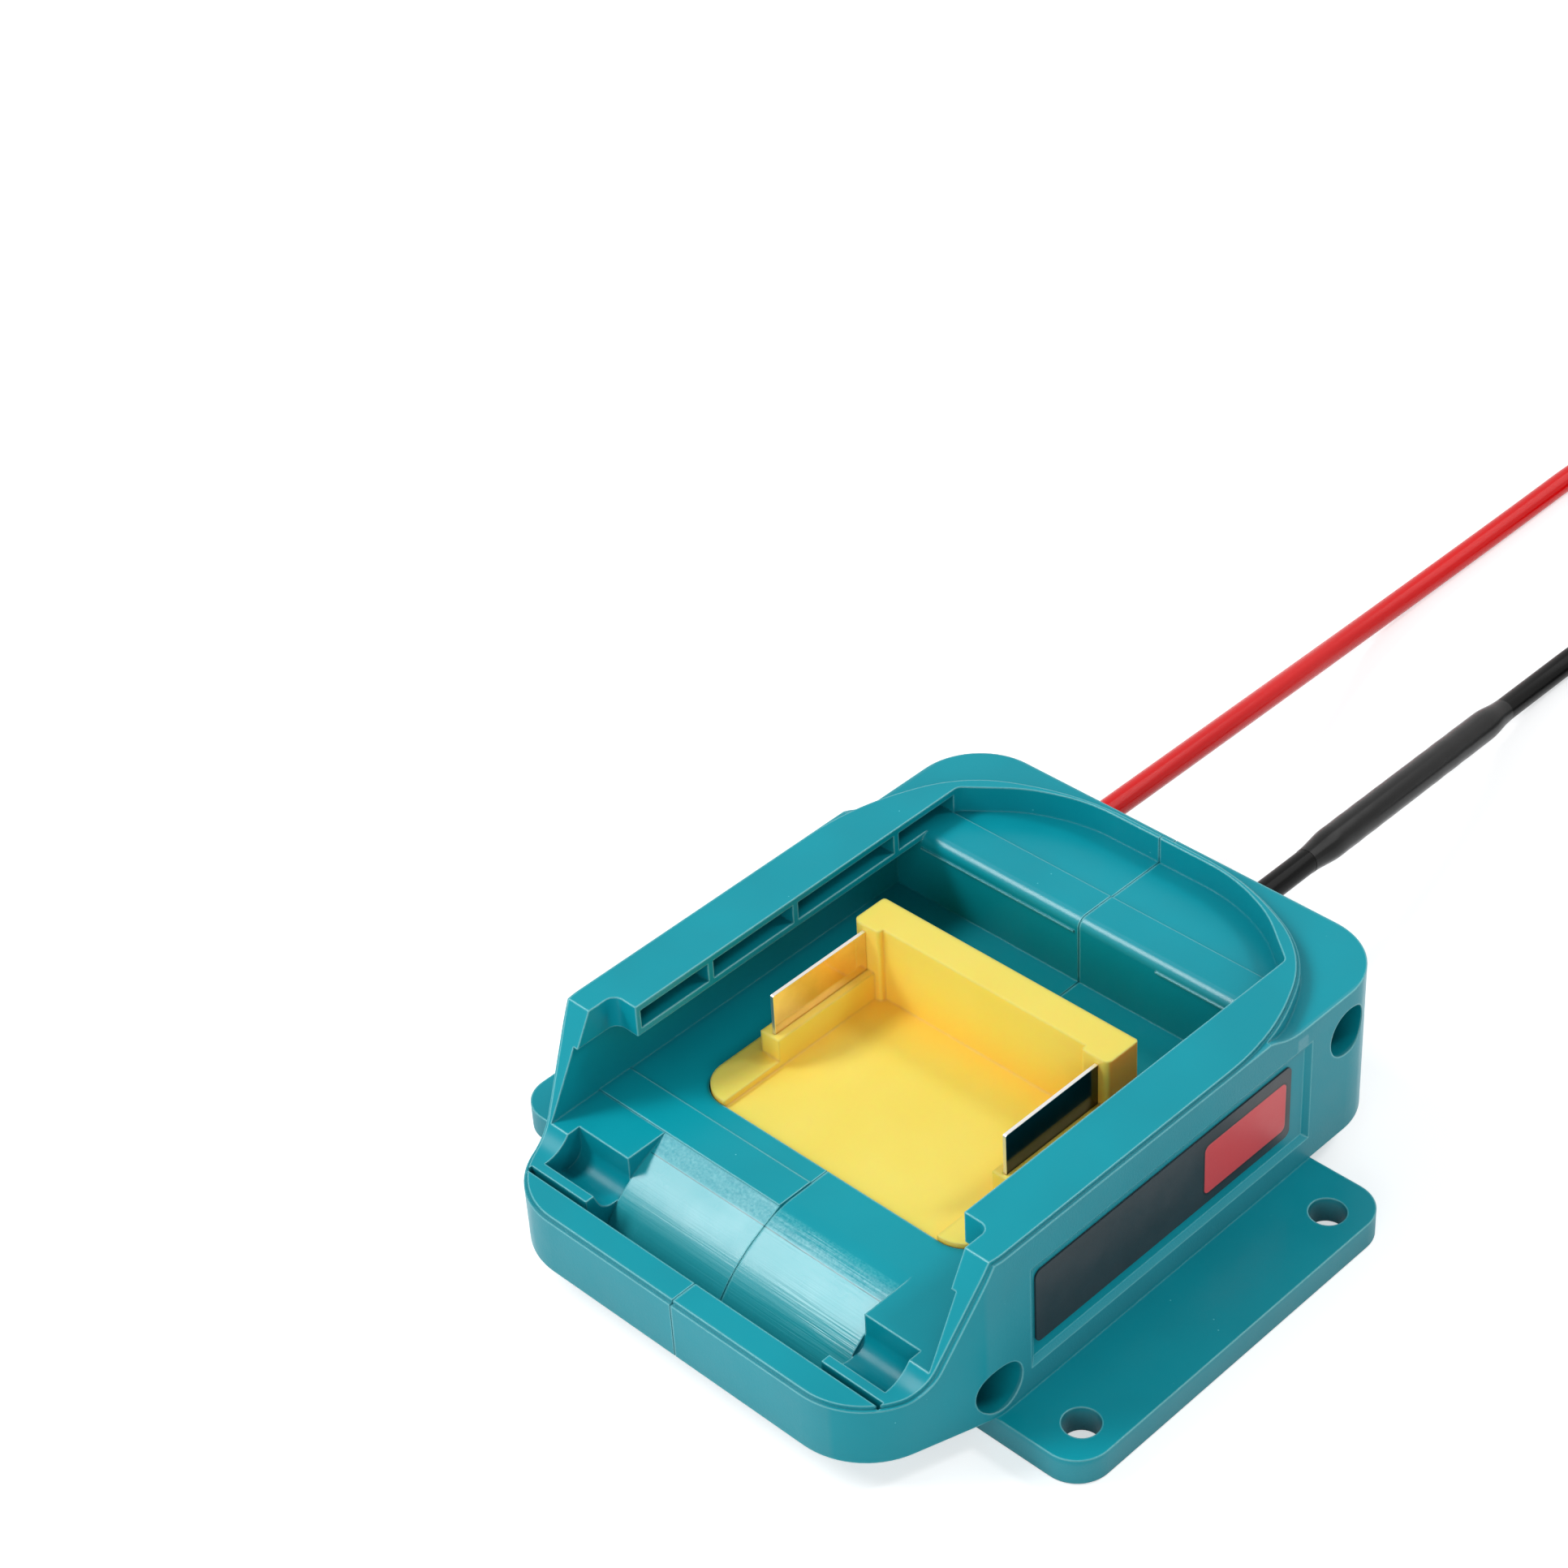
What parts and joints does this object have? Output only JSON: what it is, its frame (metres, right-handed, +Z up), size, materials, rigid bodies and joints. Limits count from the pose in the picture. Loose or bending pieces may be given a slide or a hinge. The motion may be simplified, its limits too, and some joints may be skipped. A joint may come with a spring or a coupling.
{
  "type": "slide-on tool battery adapter",
  "caption": "Screw-down plastic dock that a slide-on tool battery pushes onto, with two flat contact blades, a raised rear stop and a red and a black output wire.",
  "frame": {"origin": "centre of the flat underside of the mounting plate, at the middle of the housing's length and width, without the wires", "axes": "+Z up through the open battery cavity, +Y to the rear where the wires leave, +X to the side of the negative blade and the two screw bores"},
  "size_m": [0.1006, 0.2761, 0.03],
  "materials": {
    "housing": "moulded teal, fine satin grain",
    "terminal_plastic": "smooth moulded yellow",
    "contact_metal": "bright plated strip",
    "screw_steel": "zinc plated",
    "dark_label": "printed plastic film",
    "red_insulation": "soft silicone, slight sheen",
    "black_insulation": "soft silicone, slight sheen",
    "black_sleeve": "shrunk sleeve, satin",
    "tinned_copper": "tinned strands",
    "solder": "cooled solder"
  },
  "bodies": {
    "root": {"housing_half_red_side": "housing", "housing_half_black_side": "housing", "housing_screws": "screw_steel", "terminal_block": "terminal_plastic", "positive_blade": "contact_metal", "negative_blade": "contact_metal", "voltage_label": "dark_label", "icon_label": "dark_label", "red_inner_lead": "red_insulation", "black_inner_lead": "black_insulation", "red_inner_core": "tinned_copper", "black_inner_core": "tinned_copper", "red_solder_joint": "solder", "black_solder_joint": "solder", "red_wire": "red_insulation", "black_wire_near": "black_insulation", "black_wire_sleeved": "black_insulation", "black_splice_sleeve": "black_sleeve", "black_wire_far": "black_insulation", "red_bare_end": "tinned_copper", "black_bare_end": "tinned_copper"}
  },
  "joints": []
}
